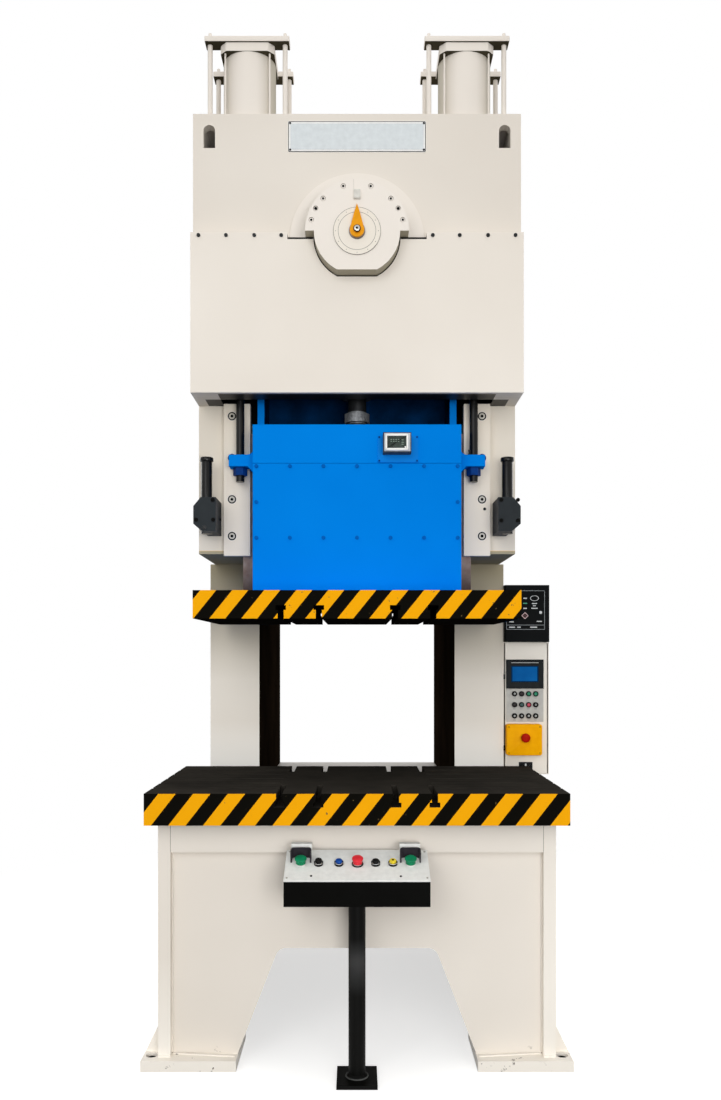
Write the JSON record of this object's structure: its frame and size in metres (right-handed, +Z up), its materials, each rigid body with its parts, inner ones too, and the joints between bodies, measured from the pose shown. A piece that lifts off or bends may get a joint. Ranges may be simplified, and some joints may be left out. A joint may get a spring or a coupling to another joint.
{
  "type": "mechanical stamping press",
  "caption": "Gap-frame mechanical stamping press with a blue ram between guide jaws, a T-slotted bolster, a crank-angle dial, air balance cylinders, a control cabinet and a two-hand console.",
  "frame": {"origin": "on the floor, straight below the middle of the bolster and of the ram", "axes": "+X to the operator's right, +Y to the back of the machine, +Z up along the ram's travel"},
  "size_m": [1.622, 2.3712, 3.874],
  "materials": {
    "cream_paint": "semi-gloss cream enamel on welded plate",
    "blue_paint": "gloss blue enamel",
    "black_paint": "satin black powder coat",
    "yellow_paint": "gloss yellow",
    "pointer_paint": "orange enamel",
    "bolster_steel": "ground and oiled tool steel",
    "machined_steel": "ground steel",
    "zinc_steel": "zinc-plated fasteners",
    "black_oxide": "black-oxide steel",
    "cast_iron": "turned cast iron",
    "bronze": "bearing bronze",
    "motor_paint": "grey machinery enamel on cast iron",
    "belt_rubber": "ribbed rubber",
    "panel_grey": "light grey panel",
    "black_plastic": "moulded black plastic",
    "white_plastic": "white moulded frame",
    "green_plastic": "green cap",
    "red_plastic": "red cap",
    "blue_plastic": "blue cap",
    "yellow_plastic": "yellow cap",
    "dial_plate": "printed metal dial"
  },
  "bodies": {
    "frame": {"base_frame": "cream_paint", "left_upright": "cream_paint", "right_upright": "cream_paint", "head_frame": "cream_paint", "bolster_plate": "bolster_steel", "left_gib_plate": "cream_paint", "right_gib_plate": "cream_paint", "gib_bolts": "zinc_steel", "left_clamp_block": "black_paint", "right_clamp_block": "black_paint", "clamp_posts": "black_oxide", "head_front_cover": "cream_paint", "front_cover_screws": "black_oxide", "dial_backing_plate": "cream_paint", "bearing_cover": "cream_paint", "bearing_cover_bolts": "black_oxide", "dial_ring": "dial_plate", "index_block": "machined_steel", "crank_bushes": "bronze", "left_balance_cylinder": "cream_paint", "right_balance_cylinder": "cream_paint", "cylinder_top_plates": "cream_paint", "cylinder_studs": "zinc_steel", "main_motor": "motor_paint", "drive_belts": "belt_rubber", "rear_guard": "cream_paint", "cabinet_body": "cream_paint", "cabinet_door": "cream_paint", "operator_screen": "black_plastic", "keypad": "panel_grey", "stop_box": "yellow_paint", "controller_box": "black_paint", "console_box": "black_paint", "console_panel": "panel_grey", "console_post": "black_paint", "palm_guards": "black_plastic"},
    "slide": {"slide_body": "blue_paint", "slide_upper_cover": "blue_paint", "slide_lower_cover": "blue_paint", "slide_cover_bolts": "blue_paint", "slide_display": "white_plastic", "pull_rods": "black_oxide", "pull_rod_nuts": "black_oxide", "balance_pistons": "machined_steel"},
    "crank": {"crankshaft": "machined_steel", "main_gear": "cast_iron", "crank_pointer": "pointer_paint"},
    "rod": {"connecting_rod": "cast_iron", "adjusting_screw": "machined_steel"},
    "drive": {"drive_shaft": "machined_steel"},
    "wheel": {"flywheel": "cast_iron"},
    "motor": {"motor_pulley": "cast_iron"},
    "left_palm": {"left_palm_button": "green_plastic"},
    "right_palm": {"right_palm_button": "green_plastic"},
    "selector": {"mode_selector": "black_plastic"},
    "blue_push": {"blue_button": "blue_plastic"},
    "red_stop": {"red_stop_button": "red_plastic"},
    "black_push": {"black_button": "black_plastic"},
    "key": {"key_switch": "yellow_plastic"},
    "cabinet_stop": {"cabinet_stop_button": "red_plastic"}
  },
  "joints": [
    {"name": "slide_travel", "type": "slide", "parent": "frame", "child": "slide", "axis": [0, 0, 1], "range_m": [-0.2, 0]},
    {"name": "crank_turn", "type": "hinge", "parent": "frame", "child": "crank", "pos_m": [0, 0, 3.052], "axis": [0, 1, 0], "range_deg": [0, 180]},
    {"name": "rod_swing", "type": "hinge", "parent": "crank", "child": "rod", "pos_m": [0, 0, 3.152], "axis": [0, 1, 0], "range_deg": [-180, 0]},
    {"name": "drive_shaft_turn", "type": "hinge", "parent": "frame", "child": "drive", "pos_m": [0, 1, 2.612], "axis": [0, 1, 0], "range_deg": [-810, 0]},
    {"name": "flywheel_spin", "type": "hinge", "parent": "frame", "child": "wheel", "pos_m": [0, 1.68, 2.612], "axis": [0, 1, 0], "continuous": true},
    {"name": "motor_spin", "type": "hinge", "parent": "frame", "child": "motor", "pos_m": [0, 1.6, 3.375], "axis": [0, 1, 0], "continuous": true},
    {"name": "left_palm_press", "type": "slide", "parent": "frame", "child": "left_palm", "axis": [0, -0.3838, 0.9234], "range_m": [-0.006, 0], "stiffness_N_per_m": 800, "springref_m": 0.002},
    {"name": "right_palm_press", "type": "slide", "parent": "frame", "child": "right_palm", "axis": [0, -0.3838, 0.9234], "range_m": [-0.006, 0], "stiffness_N_per_m": 800, "springref_m": 0.002},
    {"name": "red_stop_press", "type": "slide", "parent": "frame", "child": "red_stop", "axis": [0, -0.3838, 0.9234], "range_m": [-0.006, 0], "stiffness_N_per_m": 800, "springref_m": 0.002},
    {"name": "blue_push_press", "type": "slide", "parent": "frame", "child": "blue_push", "axis": [0, -0.3838, 0.9234], "range_m": [-0.004, 0], "stiffness_N_per_m": 800, "springref_m": 0.002},
    {"name": "black_push_press", "type": "slide", "parent": "frame", "child": "black_push", "axis": [0, -0.3838, 0.9234], "range_m": [-0.004, 0], "stiffness_N_per_m": 800, "springref_m": 0.002},
    {"name": "cabinet_stop_press", "type": "slide", "parent": "frame", "child": "cabinet_stop", "axis": [0, -1, 0], "range_m": [-0.006, 0], "stiffness_N_per_m": 800, "springref_m": 0.002},
    {"name": "selector_turn", "type": "hinge", "parent": "frame", "child": "selector", "pos_m": [-0.134, -0.44505, 0.75531], "axis": [0, -0.3838, 0.9234], "range_deg": [-45, 45]},
    {"name": "key_turn", "type": "hinge", "parent": "frame", "child": "key", "pos_m": [0.125, -0.44505, 0.75531], "axis": [0, -0.3838, 0.9234], "range_deg": [0, 90]}
  ],
  "couplings": [
    {"joint": "crank_turn", "follows": "slide_travel", "rad_per_m": -15.708},
    {"joint": "rod_swing", "follows": "slide_travel", "rad_per_m": 15.708},
    {"joint": "drive_shaft_turn", "follows": "slide_travel", "rad_per_m": 70.686},
    {"joint": "motor_spin", "follows": "flywheel_spin", "ratio": 4}
  ]
}
